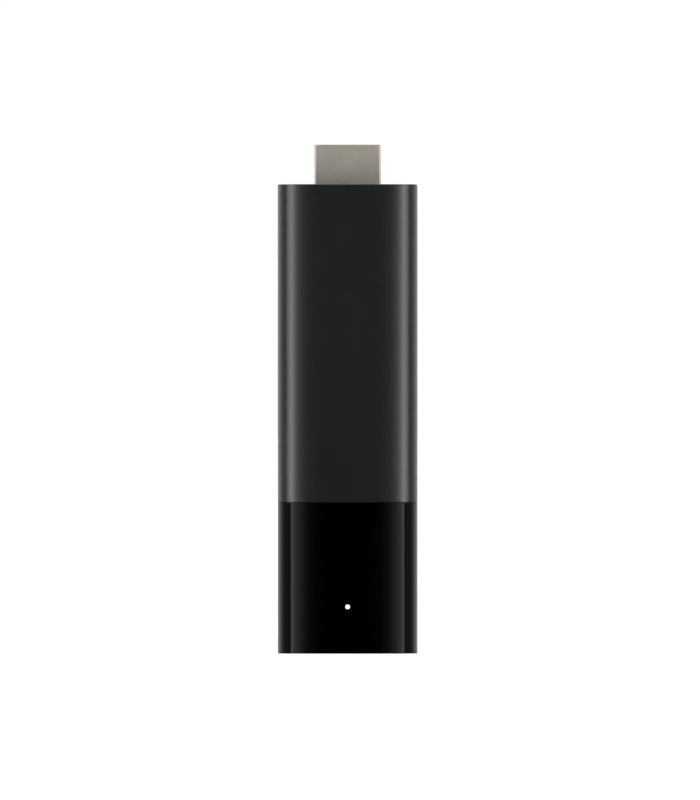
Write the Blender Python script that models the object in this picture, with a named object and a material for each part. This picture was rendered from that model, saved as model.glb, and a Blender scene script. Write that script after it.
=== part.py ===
"""Streaming media player stick, modelled as the separate pieces it comes apart into on a bench.

Units are metres, +Z is up. The stick stands on its tail: +Z runs along it towards the HDMI plug,
-Y is the front, where the status light is, and the origin is the middle of the tail's end face.
"""

import math

import bmesh
import bpy
from mathutils import Matrix

MM = 0.001

# Driving dimensions
BODY_WIDTH = 29.4 * MM  # along X
BODY_DEPTH = 15.4 * MM  # along Y
BODY_LENGTH = 98.4 * MM  # along Z, from the tail's end face to the shoulder round the plug
CAP_LENGTH = 31.6 * MM  # the glossy part of the body
PLUG_REACH = 8.4 * MM  # how far the plug stands out of the shoulder
WALL = 1.5 * MM
SEAM = 0.15 * MM  # the line between the two outer shells
FIT = 0.1 * MM  # clearance round a piece that is held in another
SOLDER = 0.05 * MM  # clearance under a piece that is soldered or stuck down

# The casing's section: flat front and back, and sides that follow a superellipse
SIDE_REACH = 9.3 * MM  # how far the rounding runs in from the edge
SIDE_POWER = 2.3
SIDE_STEPS = 10

# Board
BOARD_WIDTH = 24.0 * MM
BOARD_THICKNESS = 1.0 * MM
BOARD_BOTTOM = 2.9 * MM
BOARD_TOP = 89.3 * MM
BOARD_FACE = BOARD_THICKNESS / 2 + SOLDER  # where a soldered piece starts, either side of Y = 0

# HDMI plug, type A
PLUG_WIDTH = 13.9 * MM
PLUG_DEPTH = 4.45 * MM
PLUG_SHEET = 0.3 * MM
PLUG_TIP = BODY_LENGTH + PLUG_REACH
PLUG_CONTACTS = 19
PLUG_PITCH = 0.5 * MM
CONTACT_WIDTH = 0.4 * MM

# USB Micro-B socket
SOCKET_WIDTH = 6.9 * MM
SOCKET_DEPTH = 1.85 * MM
SOCKET_SHEET = 0.3 * MM
SOCKET_CONTACTS = 5
SOCKET_PITCH = 0.65 * MM

STATUS_LIGHT_HEIGHT = 9.8 * MM
STATUS_LIGHT_RADIUS = 0.52 * MM
SCREW_X = 9.6 * MM
SCREW_HEIGHTS = (33.0 * MM, 82.0 * MM)


# Outlines. Each takes an inset and gives (x, y) points, anticlockwise.


def pill(inset):
    """The casing's section, shrunk by inset."""
    half_depth = BODY_DEPTH / 2 - inset
    reach = SIDE_REACH - inset
    flat = BODY_WIDTH / 2 - SIDE_REACH
    quarter = []
    for step in range(SIDE_STEPS + 1):
        turn = math.pi / 2 * step / SIDE_STEPS
        x = flat + reach * max(math.cos(turn), 0.0) ** (2 / SIDE_POWER)
        y = half_depth * math.sin(turn) ** (2 / SIDE_POWER)
        quarter.append((x, y))
    right_to_left = quarter + [(-x, y) for x, y in reversed(quarter)]
    return right_to_left + [(-x, -y) for x, y in right_to_left[1:-1]]


def offset_corner(before, corner, after, inset):
    """Where two neighbouring edges of an anticlockwise polygon meet once both move in by inset."""
    ax, ay = corner[0] - before[0], corner[1] - before[1]
    bx, by = after[0] - corner[0], after[1] - corner[1]
    a_length, b_length = math.hypot(ax, ay), math.hypot(bx, by)
    nx = -ay / a_length - by / b_length
    ny = ax / a_length + bx / b_length
    scale = 2 * inset / (nx * nx + ny * ny)
    return corner[0] + nx * scale, corner[1] + ny * scale


def rounded(corners, radii, inset, steps=4):
    """A convex polygon moved in by inset, with each corner rounded to its radius less the inset."""
    count = len(corners)
    moved = []
    for i in range(count):
        moved.append(offset_corner(corners[i - 1], corners[i], corners[(i + 1) % count], inset))
    points = []
    for i in range(count):
        x, y = moved[i]
        px, py = moved[i - 1]
        qx, qy = moved[(i + 1) % count]
        into = math.atan2(y - py, x - px)
        turn = (math.atan2(qy - y, qx - x) - into) % (2 * math.pi)
        radius = max(radii[i] - inset, 0.05 * MM)
        back = radius * math.tan(turn / 2)
        centre_x = x - back * math.cos(into) - radius * math.sin(into)
        centre_y = y - back * math.sin(into) + radius * math.cos(into)
        for step in range(steps + 1):
            angle = into - math.pi / 2 + turn * step / steps
            points.append((centre_x + radius * math.cos(angle), centre_y + radius * math.sin(angle)))
    return points


def rectangle(width, depth, radius):
    """An outline function for a rectangle with round corners."""
    x, y = width / 2, depth / 2
    corners = [(-x, -y), (x, -y), (x, y), (-x, y)]
    return lambda inset: rounded(corners, [radius] * 4, inset)


def plug_outline(inset):
    """The HDMI plug's section: the wide side is at the front, and the back corners slope in."""
    x, y = PLUG_WIDTH / 2, PLUG_DEPTH / 2
    slope_top, slope_end = 0.2 * MM, 5.05 * MM
    corners = [(-x, -y), (x, -y), (x, slope_top), (slope_end, y), (-slope_end, y), (-x, slope_top)]
    radii = [0.5 * MM, 0.5 * MM, 0.9 * MM, 0.9 * MM, 0.9 * MM, 0.9 * MM]
    return rounded(corners, radii, inset)


def socket_outline(inset):
    """The mouth of the USB Micro-B socket; a negative inset gives its metal shell."""
    x, y = SOCKET_WIDTH / 2, SOCKET_DEPTH / 2
    slope_top, slope_end = 0.1 * MM, 2.6 * MM
    corners = [(-x, -y), (x, -y), (x, slope_top), (slope_end, y), (-slope_end, y), (-x, slope_top)]
    return rounded(corners, [0.3 * MM] * 6, inset, steps=3)


def circle_of(sides):
    """An outline function whose argument is a radius, for turned pieces."""
    turns = [2 * math.pi * i / sides for i in range(sides)]
    return lambda radius: [(radius * math.cos(t), radius * math.sin(t)) for t in turns]


# Building blocks


def finish(name, colour, roughness, metallic=0.0):
    """A Principled material."""
    made = bpy.data.materials.new(name)
    made.use_nodes = True
    shader = made.node_tree.nodes["Principled BSDF"]
    shader.inputs["Base Color"].default_value = (*colour, 1.0)
    shader.inputs["Roughness"].default_value = roughness
    shader.inputs["Metallic"].default_value = metallic
    return made


def group(name, location=(0, 0, 0)):
    """An empty that the pieces of one assembly are parented to."""
    empty = bpy.data.objects.new(name, None)
    empty.location = location
    bpy.context.scene.collection.objects.link(empty)
    return empty


def place(name, bm, material, parent, location=(0, 0, 0), rotation=(0, 0, 0), smooth_below=35):
    """Makes an object of the mesh, with outward normals and round stretches shaded smooth."""
    bmesh.ops.recalc_face_normals(bm, faces=bm.faces)
    mesh = bpy.data.meshes.new(name)
    bm.to_mesh(mesh)
    bm.free()
    mesh.shade_smooth()
    mesh.set_sharp_from_angle(angle=math.radians(smooth_below))
    if material is not None:
        mesh.materials.append(material)
    made = bpy.data.objects.new(name, mesh)
    made.parent = parent
    made.location = location
    made.rotation_euler = rotation
    bpy.context.scene.collection.objects.link(made)
    return made


def loft(outline, stations, ring=False):
    """Bridges the outline taken at each (inset, z) station, capped at the ends or closed as a ring."""
    bm = bmesh.new()
    loops = []
    for inset, z in stations:
        loops.append([bm.verts.new((x, y, z)) for x, y in outline(inset)])
    pairs = list(zip(loops, loops[1:]))
    if ring:
        pairs.append((loops[-1], loops[0]))
    for low, high in pairs:
        for i in range(len(low)):
            j = (i + 1) % len(low)
            bm.faces.new((low[i], low[j], high[j], high[i]))
    if not ring:
        bm.faces.new(loops[0])
        bm.faces.new(loops[-1])
    return bm


def add_box(bm, low, high):
    """Adds a box between two corners to the mesh."""
    made = bmesh.ops.create_cube(bm, size=1.0)["verts"]
    size = [b - a for a, b in zip(low, high)]
    middle = [(a + b) / 2 for a, b in zip(low, high)]
    bmesh.ops.scale(bm, vec=size, verts=made)
    bmesh.ops.translate(bm, vec=middle, verts=made)


def add_pin(bm, radius, low, high, x, z):
    """Adds a round pin along Y to the mesh."""
    middle = Matrix.Translation((x, (low + high) / 2, z))
    bmesh.ops.create_cone(
        bm,
        cap_ends=True,
        segments=16,
        radius1=radius,
        radius2=radius,
        depth=high - low,
        matrix=middle @ Matrix.Rotation(math.pi / 2, 4, "X"),
    )


def boxes(*corners):
    """A mesh of boxes, each given as its low and high corner."""
    bm = bmesh.new()
    for low, high in corners:
        add_box(bm, low, high)
    return bm


def mirrored(low, high):
    """The same box on the other side of X = 0."""
    return (-high[0], low[1], low[2]), (-low[0], high[1], high[2])


def both_sides(low, high):
    """A box at +X and its mirror image at -X."""
    return (low, high), mirrored(low, high)


def prism(points, low, high, axis):
    """A flat outline extruded along X, Y or Z. The points give the other two coordinates in order."""
    bm = bmesh.new()
    verts = []
    for a, b in points:
        place_at = {"X": (low, a, b), "Y": (a, low, b), "Z": (a, b, low)}[axis]
        verts.append(bm.verts.new(place_at))
    face = bm.faces.new(verts)
    made = bmesh.ops.extrude_face_region(bm, geom=[face])["geom"]
    along = {"X": (1, 0, 0), "Y": (0, 1, 0), "Z": (0, 0, 1)}[axis]
    moved = [v for v in made if isinstance(v, bmesh.types.BMVert)]
    bmesh.ops.translate(bm, vec=[c * (high - low) for c in along], verts=moved)
    return bm


def strip_outline(path, thickness):
    """The edge-on outline of a bent metal strip that follows the path."""
    headings = [math.atan2(z2 - z1, y2 - y1) for (y1, z1), (y2, z2) in zip(path, path[1:])]
    left, right = [], []
    for (y, z), into, out in zip(path, headings[:1] + headings, headings + headings[-1:]):
        half = thickness / 2 / math.cos((out - into) / 2)
        normal = (into + out) / 2 + math.pi / 2
        dy, dz = half * math.cos(normal), half * math.sin(normal)
        left.append((y + dy, z + dz))
        right.append((y - dy, z - dz))
    return left + right[::-1]


def helper(name, bm, parent):
    """A shape that only cuts or joins: it isn't part of the object."""
    made = place(name, bm, None, parent)
    made.data.shade_flat()
    made.hide_render = True
    made.display_type = "WIRE"
    return made


def combine(target, operation, name, bm):
    """Cuts the mesh out of the target, joins it on, or keeps what both fill."""
    other = helper(f"{target.name}_{name}", bm, target.parent)
    made = target.modifiers.new(name, "BOOLEAN")
    made.operation = operation
    made.object = other
    made.solver = "EXACT"
    return other


def soften(target, width, segments=1):
    """Bevels the piece's sharp edges."""
    made = target.modifiers.new("soft_edges", "BEVEL")
    made.width = width
    made.segments = segments
    made.limit_method = "ANGLE"
    made.angle_limit = math.radians(40)
    return target


def block(name, size, centre, material, parent, edge=0.1 * MM):
    """A box-shaped piece with softened edges, placed by its centre."""
    half = [s / 2 for s in size]
    made = place(name, boxes(([-h for h in half], half)), material, parent, centre)
    return soften(made, edge)


def on_board(name, x, z, width, length, height, material, parent, front=True):
    """A chip-like block soldered to the board's front or back."""
    y = BOARD_FACE + height / 2
    return block(name, (width, height, length), (x, -y if front else y, z), material, parent)


# Casing


def make_main_sleeve(parent, material):
    """The matte outer tube, rebated at its top end for the plug's end plate."""
    bottom, top = CAP_LENGTH + SEAM, BODY_LENGTH
    rim, ledge = 0.9 * MM, 96.8 * MM
    stations = [
        (0.15 * MM, bottom),
        (0.0, bottom + 0.15 * MM),
        (0.0, top - 0.25 * MM),
        (0.08 * MM, top - 0.08 * MM),
        (0.25 * MM, top),
        (rim, top),
        (rim, ledge),
        (WALL, ledge),
        (WALL, bottom),
    ]
    sleeve = place("main_sleeve", loft(pill, stations, ring=True), material, parent)
    inner = BODY_DEPTH / 2 - WALL
    deep = inner + 0.65 * MM
    half, low, high = 3.2 * MM, 33.9 * MM, 35.7 * MM
    front = ((-half, -deep, low), (half, -inner + 0.5 * MM, high))
    back = ((-half, inner - 0.5 * MM, low), (half, deep, high))
    combine(sleeve, "DIFFERENCE", "snap_recesses", boxes(front, back))


def tongue_boxes(sign):
    """The snap tongue on the cap's front (-1) or back (1) wall, as (shape, low, high) boxes."""
    inner = BODY_DEPTH / 2 - WALL
    shapes = (
        ("root", 5.2 * MM, (inner - 1.1 * MM, inner + 0.4 * MM), (27.0 * MM, 31.3 * MM)),
        ("blade", 5.1 * MM, (inner - 1.15 * MM, inner - FIT), (28.0 * MM, 36.2 * MM)),
        ("hook", 3.0 * MM, (inner - 0.6 * MM, inner + 0.5 * MM), (34.2 * MM, 35.4 * MM)),
    )
    for shape, half, depth, (bottom, top) in shapes:
        near, far = sorted(sign * y for y in depth)
        yield shape, (-half, near, bottom), (half, far, top)


def make_tail_cap(parent, material):
    """The glossy cup at the tail, with two snap tongues, the socket's mouth and the light's hole."""
    floor = 2.0 * MM
    stations = [
        (WALL, floor),
        (WALL, CAP_LENGTH),
        (0.15 * MM, CAP_LENGTH),
        (0.0, CAP_LENGTH - 0.15 * MM),
        (0.0, 0.25 * MM),
        (0.08 * MM, 0.08 * MM),
        (0.25 * MM, 0.0),
    ]
    cap = place("tail_cap", loft(pill, stations), material, parent)
    for sign, side in ((-1, "front"), (1, "back")):
        for shape, low, high in tongue_boxes(sign):
            combine(cap, "UNION", f"{side}_{shape}", boxes((low, high)))
    mouth = [(-1.3 * MM, -0.1 * MM), (-0.7 * MM, 0.5 * MM), (-0.7 * MM, floor + 0.5 * MM)]
    combine(cap, "DIFFERENCE", "socket_mouth", loft(socket_outline, mouth))
    radius = STATUS_LIGHT_RADIUS + FIT
    outside = BODY_DEPTH / 2 + 0.5 * MM
    inside = BODY_DEPTH / 2 - WALL - 0.5 * MM
    bore = loft(circle_of(24), [(radius, inside), (radius, outside)])
    drill = combine(cap, "DIFFERENCE", "light_hole", bore)
    drill.location = (0, 0, STATUS_LIGHT_HEIGHT)
    drill.rotation_euler = (math.pi / 2, 0, 0)


def make_plug_end_plate(parent, material):
    """The inset plate at the plug end, with two legs that stand on the carrier's rails."""
    bottom, top = 96.9 * MM, BODY_LENGTH - 0.1 * MM
    rim = 0.9 * MM + FIT
    stations = [(rim, bottom), (rim, top - 0.15 * MM), (rim + 0.15 * MM, top)]
    plate = place("plug_end_plate", loft(pill, stations), material, parent)
    low = (9.6 * MM, -1.5 * MM, 93.8 * MM)
    high = (11.8 * MM, 1.5 * MM, 97.3 * MM)
    combine(plate, "UNION", "legs", boxes(*both_sides(low, high)))
    window = [(-0.15 * MM, 96.0 * MM), (-0.15 * MM, 98.05 * MM), (-0.45 * MM, 98.6 * MM)]
    combine(plate, "DIFFERENCE", "plug_window", loft(plug_outline, window))


def make_board_carrier(parent, material):
    """The frame that holds the board by its edges: two grooved rails, a foot and four screw bosses."""
    bottom, top = 2.3 * MM, 93.6 * MM
    rail_depth, foot_depth, foot_top = 2.0 * MM, 3.4 * MM, 4.4 * MM
    rail_inner, far = 11.0 * MM, 20.0 * MM
    inset = WALL + 0.15 * MM
    carrier = place("board_carrier", loft(pill, [(inset, bottom), (inset, top)]), material, parent)
    outside = [
        ((-far, rail_depth, foot_top), (far, far, top + far)),
        ((-far, -far, foot_top), (far, -rail_depth, top + far)),
        ((-far, foot_depth, -far), (far, far, foot_top + 1.0 * MM)),
        ((-far, -far, -far), (far, -foot_depth, foot_top + 1.0 * MM)),
    ]
    for side, corners in zip(("back", "front", "foot_back", "foot_front"), outside):
        combine(carrier, "DIFFERENCE", side, boxes(corners))
    pocket = ((-rail_inner, -far, foot_top), (rail_inner, far, top + far))
    combine(carrier, "DIFFERENCE", "pocket", boxes(pocket))
    groove_x = BOARD_WIDTH / 2 + FIT
    groove_y = BOARD_THICKNESS / 2 + FIT
    groove = ((-groove_x, -groove_y, BOARD_BOTTOM - FIT), (groove_x, groove_y, top + far))
    combine(carrier, "DIFFERENCE", "groove", boxes(groove))
    socket_bay = ((-4.1 * MM, -1.5 * MM, -far), (4.1 * MM, 1.5 * MM, foot_top + 1.0 * MM))
    combine(carrier, "DIFFERENCE", "socket_bay", boxes(socket_bay))
    bosses, drills = [], bmesh.new()
    for z in SCREW_HEIGHTS:
        low = (7.9 * MM, groove_y, z - 1.7 * MM)
        high = (11.4 * MM, 4.4 * MM, z + 1.7 * MM)
        bosses += both_sides(low, high)
        for x in (-SCREW_X, SCREW_X):
            add_pin(drills, 0.85 * MM, 0.2 * MM, 6.0 * MM, x, z)
    combine(carrier, "UNION", "bosses", boxes(*bosses))
    combine(carrier, "DIFFERENCE", "pilot_holes", drills)


def make_light_pipe(parent, material):
    """The clear pin that carries the status light to the front face, with a collar inside the wall."""
    surface = BODY_DEPTH / 2 - 0.02 * MM
    wall_inside = BODY_DEPTH / 2 - WALL - FIT
    radius = STATUS_LIGHT_RADIUS
    stations = [
        (0.9 * MM, BOARD_FACE + 0.8 * MM),
        (0.9 * MM, wall_inside - 0.7 * MM),
        (1.4 * MM, wall_inside - 0.7 * MM),
        (1.4 * MM, wall_inside),
        (radius, wall_inside),
        (radius, surface - 0.05 * MM),
        (radius - 0.05 * MM, surface),
    ]
    place(
        "light_pipe",
        loft(circle_of(24), stations),
        material,
        parent,
        location=(0, 0, STATUS_LIGHT_HEIGHT),
        rotation=(math.pi / 2, 0, 0),
    )


def make_plug_gasket(parent, material):
    """The conductive foam ring under the end plate that grounds the plug's shell."""
    bottom, top = 95.6 * MM, 96.8 * MM
    outer = rectangle(17.6 * MM, 8.2 * MM, 1.0 * MM)
    gasket = place("plug_gasket", loft(outer, [(0.0, bottom), (0.0, top)]), material, parent)
    hole = [(-FIT, bottom - 1.0 * MM), (-FIT, top + 1.0 * MM)]
    combine(gasket, "DIFFERENCE", "plug_hole", loft(plug_outline, hole))


# HDMI plug


def plug_contact_places():
    """(number, x, side) of each contact: odd ones along the front (-1), even ones along the back."""
    for number in range(1, PLUG_CONTACTS + 1):
        x = (number - (PLUG_CONTACTS + 1) / 2) * PLUG_PITCH
        yield number, x, -1 if number % 2 else 1


def make_hdmi_plug(parent, steel, plastic, gold):
    """The shell, the slotted insulator inside it and nineteen spring contacts."""
    shell_bottom, insulator_bottom, insulator_top = 90.2 * MM, 90.0 * MM, 106.3 * MM
    stations = [
        (0.0, shell_bottom),
        (0.0, PLUG_TIP - 0.12 * MM),
        (0.1 * MM, PLUG_TIP),
        (PLUG_SHEET, PLUG_TIP),
        (PLUG_SHEET, shell_bottom),
    ]
    shell = place("hdmi_shell", loft(plug_outline, stations, ring=True), steel, parent)
    low = (PLUG_WIDTH / 2 - PLUG_SHEET, -1.5 * MM, 85.8 * MM)
    high = (PLUG_WIDTH / 2 - 0.01 * MM, -0.4 * MM, 91.2 * MM)
    combine(shell, "UNION", "legs", boxes(*both_sides(low, high)))

    inset = PLUG_SHEET + 0.06 * MM
    body = loft(plug_outline, [(inset, insulator_bottom), (inset, insulator_top)])
    insulator = place("hdmi_insulator", body, plastic, parent)
    slot = ((-5.3 * MM, -1.0 * MM, 98.6 * MM), (5.3 * MM, 1.0 * MM, PLUG_TIP))
    combine(insulator, "DIFFERENCE", "slot", boxes(slot))
    grooves = []
    half = CONTACT_WIDTH / 2 + FIT
    for _, x, side in plug_contact_places():
        near, far = sorted((side * 0.9 * MM, side * 1.5 * MM))
        grooves.append(((x - half, near, insulator_bottom - MM), (x + half, far, 105.7 * MM)))
    combine(insulator, "DIFFERENCE", "grooves", boxes(*grooves))

    for number, x, side in plug_contact_places():
        path = [
            (side * 0.7 * MM, 87.0 * MM),
            (side * 0.7 * MM, 88.9 * MM),
            (side * 1.22 * MM, 89.8 * MM),
            (side * 1.22 * MM, 102.0 * MM),
            (side * 0.92 * MM, 104.2 * MM),
            (side * 1.2 * MM, 105.3 * MM),
        ]
        strip = prism(strip_outline(path, 0.24 * MM), -CONTACT_WIDTH / 2, CONTACT_WIDTH / 2, "X")
        place(f"hdmi_contact_{number:02d}", strip, gold, parent, location=(x, 0, 0), smooth_below=20)


# USB power socket


def socket_contact_places():
    for number in range(1, SOCKET_CONTACTS + 1):
        yield number, (number - (SOCKET_CONTACTS + 1) / 2) * SOCKET_PITCH


def make_usb_socket(parent, steel, plastic, gold):
    """The flared shell, the insulator with its tongue and five contacts, mouth down at the tail."""
    stations = [
        (-SOCKET_SHEET, 6.3 * MM),
        (-SOCKET_SHEET, 0.95 * MM),
        (-0.5 * MM, 0.5 * MM),
        (-0.2 * MM, 0.5 * MM),
        (0.0, 0.95 * MM),
        (0.0, 6.3 * MM),
    ]
    shell = place("usb_shell", loft(socket_outline, stations, ring=True), steel, parent)
    low = (SOCKET_WIDTH / 2 + 0.1 * MM, -BOARD_FACE - 0.3 * MM, 4.8 * MM)
    high = (5.2 * MM, -BOARD_FACE, 6.0 * MM)
    combine(shell, "UNION", "tabs", boxes(*both_sides(low, high)))

    block_bottom, block_top = 4.4 * MM, 6.2 * MM
    body = loft(socket_outline, [(0.06 * MM, block_bottom), (0.06 * MM, block_top)])
    insulator = place("usb_insulator", body, plastic, parent)
    tongue = ((-1.95 * MM, -0.45 * MM, 1.7 * MM), (1.95 * MM, 0.15 * MM, 4.8 * MM))
    combine(insulator, "UNION", "tongue", boxes(tongue))
    width, thickness = 0.3 * MM, 0.12 * MM
    channels = []
    for _, x in socket_contact_places():
        half = width / 2 + 0.07 * MM
        channels.append(((x - half, 0.08 * MM, 1.0 * MM), (x + half, 0.42 * MM, block_top + MM)))
    combine(insulator, "DIFFERENCE", "channels", boxes(*channels))

    path = [(0.2 * MM, 1.9 * MM), (0.2 * MM, 6.25 * MM), (0.62 * MM, 6.6 * MM), (0.62 * MM, 8.6 * MM)]
    for number, x in socket_contact_places():
        strip = prism(strip_outline(path, thickness), -width / 2, width / 2, "X")
        place(f"usb_contact_{number}", strip, gold, parent, location=(x, 0, 0), smooth_below=20)


# Board and what is soldered to it


def make_main_board(parent, material):
    """The circuit board, notched for the USB socket and slotted for the HDMI shell's legs."""
    half, y = BOARD_WIDTH / 2, BOARD_THICKNESS / 2
    notch_x, notch_top = 4.0 * MM, 6.7 * MM
    slot_in, slot_out, slot_bottom = 6.4 * MM, 7.2 * MM, 85.4 * MM
    right = [
        (notch_x, notch_top),
        (notch_x, BOARD_BOTTOM),
        (half, BOARD_BOTTOM),
        (half, BOARD_TOP),
        (slot_out, BOARD_TOP),
        (slot_out, slot_bottom),
        (slot_in, slot_bottom),
        (slot_in, BOARD_TOP),
    ]
    outline = right + [(-x, z) for x, z in reversed(right)]
    board = place("main_board", prism(outline, -y, y, "Y"), material, parent)
    drills = bmesh.new()
    for z in SCREW_HEIGHTS:
        for x in (-SCREW_X, SCREW_X):
            add_pin(drills, 0.95 * MM, -2 * MM, 2 * MM, x, z)
    combine(board, "DIFFERENCE", "screw_holes", drills)


def make_components(parent, looks):
    """Chips, coils, capacitors and the status light. Sizes are width (X), length (Z) and height."""
    chip = looks["chip"]
    on_board("soc_chip", 0.0, 63.0 * MM, 13.0 * MM, 13.0 * MM, 1.2 * MM, chip, parent)
    on_board("memory_chip", 2.6 * MM, 48.6 * MM, 9.0 * MM, 11.4 * MM, 1.0 * MM, chip, parent)
    on_board("power_chip", -6.0 * MM, 51.0 * MM, 5.0 * MM, 5.0 * MM, 0.9 * MM, chip, parent)
    on_board("crystal_can", -6.4 * MM, 44.0 * MM, 3.2 * MM, 2.5 * MM, 0.8 * MM, looks["tin"], parent)
    on_board("storage_chip", 0.0, 61.0 * MM, 11.5 * MM, 13.0 * MM, 1.0 * MM, chip, parent, front=False)
    on_board("status_led", 0.0, STATUS_LIGHT_HEIGHT, 1.6 * MM, 0.8 * MM, 0.6 * MM, looks["led"], parent)

    ferrite, ceramic, green = looks["ferrite"], looks["ceramic"], looks["board"]
    for number, side in ((1, -1), (2, 1)):
        name = f"power_inductor_{number}"
        x = side * 4.2 * MM
        coil = on_board(name, x, 37.6 * MM, 4 * MM, 4 * MM, 1.8 * MM, ferrite, parent, front=False)
        coil.modifiers["soft_edges"].width = 0.4 * MM
        name = f"bulk_capacitor_{number}"
        x = side * 6.6 * MM
        on_board(name, x, 11.5 * MM, 2.5 * MM, 3.2 * MM, 1.6 * MM, ceramic, parent, front=False)

    side = 12.0 * MM
    module = on_board("wifi_module", 0.0, 22.5 * MM, side, side, 0.6 * MM, green, parent, front=False)
    lid_low = (-5.6 * MM, BOARD_FACE + 0.4 * MM, 16.9 * MM)
    lid_high = (5.6 * MM, BOARD_FACE + 1.6 * MM, 28.1 * MM)
    combine(module, "UNION", "lid", boxes((lid_low, lid_high)))
    module.modifiers.move(len(module.modifiers) - 1, 0)


def open_can(name, x, z, low, high, sheet, material, parent):
    """A pressed sheet-metal can over part of the board, open towards it. low and high are Y."""
    outside, inside = min(low, high, key=abs), max(low, high, key=abs)
    shell_low, shell_high = (-x, min(low, high), z[0]), (x, max(low, high), z[1])
    can = place(name, boxes((shell_low, shell_high)), material, parent)
    soften(can, 0.25 * MM)
    cut_y = sorted((outside - math.copysign(MM, inside), inside - math.copysign(sheet, inside)))
    hollow = ((-x + sheet, cut_y[0], z[0] + sheet), (x - sheet, cut_y[1], z[1] - sheet))
    combine(can, "DIFFERENCE", "hollow", boxes(hollow))


def make_shields(parent, tin):
    """The two-piece shield over the processor and the one-piece can behind it."""
    x, bottom, top = 10.0 * MM, 40.5 * MM, 77.5 * MM
    wall, crown = 0.25 * MM, -2.35 * MM
    fence = place("front_shield_fence", boxes(((-x, crown, bottom), (x, -BOARD_FACE, top))), tin, parent)
    opening = ((-x + wall, crown - MM, bottom + wall), (x - wall, MM, top - wall))
    combine(fence, "DIFFERENCE", "opening", boxes(opening))
    around = FIT + 0.2 * MM
    span = (bottom - around, top + around)
    open_can("front_shield_lid", x + around, span, -1.2 * MM, crown - FIT - 0.2 * MM, 0.2 * MM, tin, parent)
    open_can("back_shield_can", 9.6 * MM, (45.0 * MM, 74.0 * MM), BOARD_FACE, 2.5 * MM, 0.2 * MM, tin, parent)


def make_cooling(parent, rubber, aluminium):
    """Soft pads that carry the heat out through the shields, and a ribbed plate front and back."""
    block("soc_thermal_pad", (11 * MM, 0.55 * MM, 11 * MM), (0, -2.1 * MM, 63 * MM), rubber, parent)
    block("lid_thermal_pad", (16 * MM, 0.9 * MM, 24 * MM), (0, -3.16 * MM, 60 * MM), rubber, parent)
    block("back_thermal_pad", (16 * MM, 0.9 * MM, 20 * MM), (0, 3.0 * MM, 60 * MM), rubber, parent)
    half, rib, pitch, ribs = 10.0 * MM, 1.0 * MM, 2.4 * MM, 7
    spreaders = (
        ("front", -1, 3.66 * MM, 38.0 * MM, 79.5 * MM),
        ("back", 1, 3.5 * MM, 41.0 * MM, 78.5 * MM),
    )
    for side, sign, near, bottom, top in spreaders:
        base, tip = near + 1.0 * MM, near + 1.8 * MM
        points = [(-half, near), (half, near), (half, base)]
        for i in range(ribs):
            x = ((ribs - 1) / 2 - i) * pitch
            points += [(x + rib / 2, base), (x + rib / 2, tip), (x - rib / 2, tip), (x - rib / 2, base)]
        points.append((-half, base))
        points = [(x, sign * y) for x, y in points]
        place(f"{side}_heat_spreader", prism(points, bottom, top, "Z"), aluminium, parent)


def make_antennas(parent, tin):
    """A stamped inverted-F antenna at each side, in the tail where the casing has no metal."""
    sheet, width = 0.25 * MM, 2.0 * MM
    foot, roof = -BOARD_FACE, -3.8 * MM
    feed, ground, tip = 14.0 * MM, 16.5 * MM, 25.5 * MM
    outline = [
        (foot, feed - MM),
        (foot - sheet, feed - MM),
        (foot - sheet, feed),
        (roof, feed),
        (roof, tip),
        (roof + sheet, tip),
        (roof + sheet, ground + sheet),
        (foot, ground + sheet),
        (foot, ground),
        (roof + sheet, ground),
        (roof + sheet, feed + sheet),
        (foot, feed + sheet),
    ]
    for side, x in (("left", -9.3 * MM), ("right", 9.3 * MM)):
        shape = prism(outline, -width / 2, width / 2, "X")
        place(f"antenna_{side}", shape, tin, parent, location=(x, 0, 0))


def make_screws(parent, steel):
    """Four pan-head screws that hold the board to the carrier, each with a cross recess."""
    head, shank, root, tip = 1.4 * MM, 0.7 * MM, 0.55 * MM, 0.25 * MM
    stations = [(head * 0.8, 0.0), (head, 0.25 * MM), (head, 0.8 * MM), (root, 0.8 * MM)]
    pitch, turns = 0.6 * MM, 5
    for turn in range(turns):
        start = 1.3 * MM + turn * pitch
        stations += [(root, start), (shank, start + pitch * 0.3), (root, start + pitch * 0.6)]
    stations.append((tip, 4.8 * MM))
    number = 0
    for z in SCREW_HEIGHTS:
        for x in (-SCREW_X, SCREW_X):
            number += 1
            screw = place(
                f"board_screw_{number}",
                loft(circle_of(16), stations),
                steel,
                parent,
                location=(x, -BOARD_FACE - 0.8 * MM, z),
                rotation=(-math.pi / 2, 0, 0),
            )
            arm, reach, depth = 0.15 * MM, 0.8 * MM, 0.45 * MM
            quarter = [(arm, arm), (arm, reach), (-arm, reach)]
            cross = []
            for _ in range(4):
                cross += quarter
                quarter = [(-b, a) for a, b in quarter]
            cutter = combine(screw, "DIFFERENCE", "cross_recess", prism(cross, -depth, depth, "Z"))
            cutter.location = screw.location
            cutter.rotation_euler = screw.rotation_euler


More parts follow.
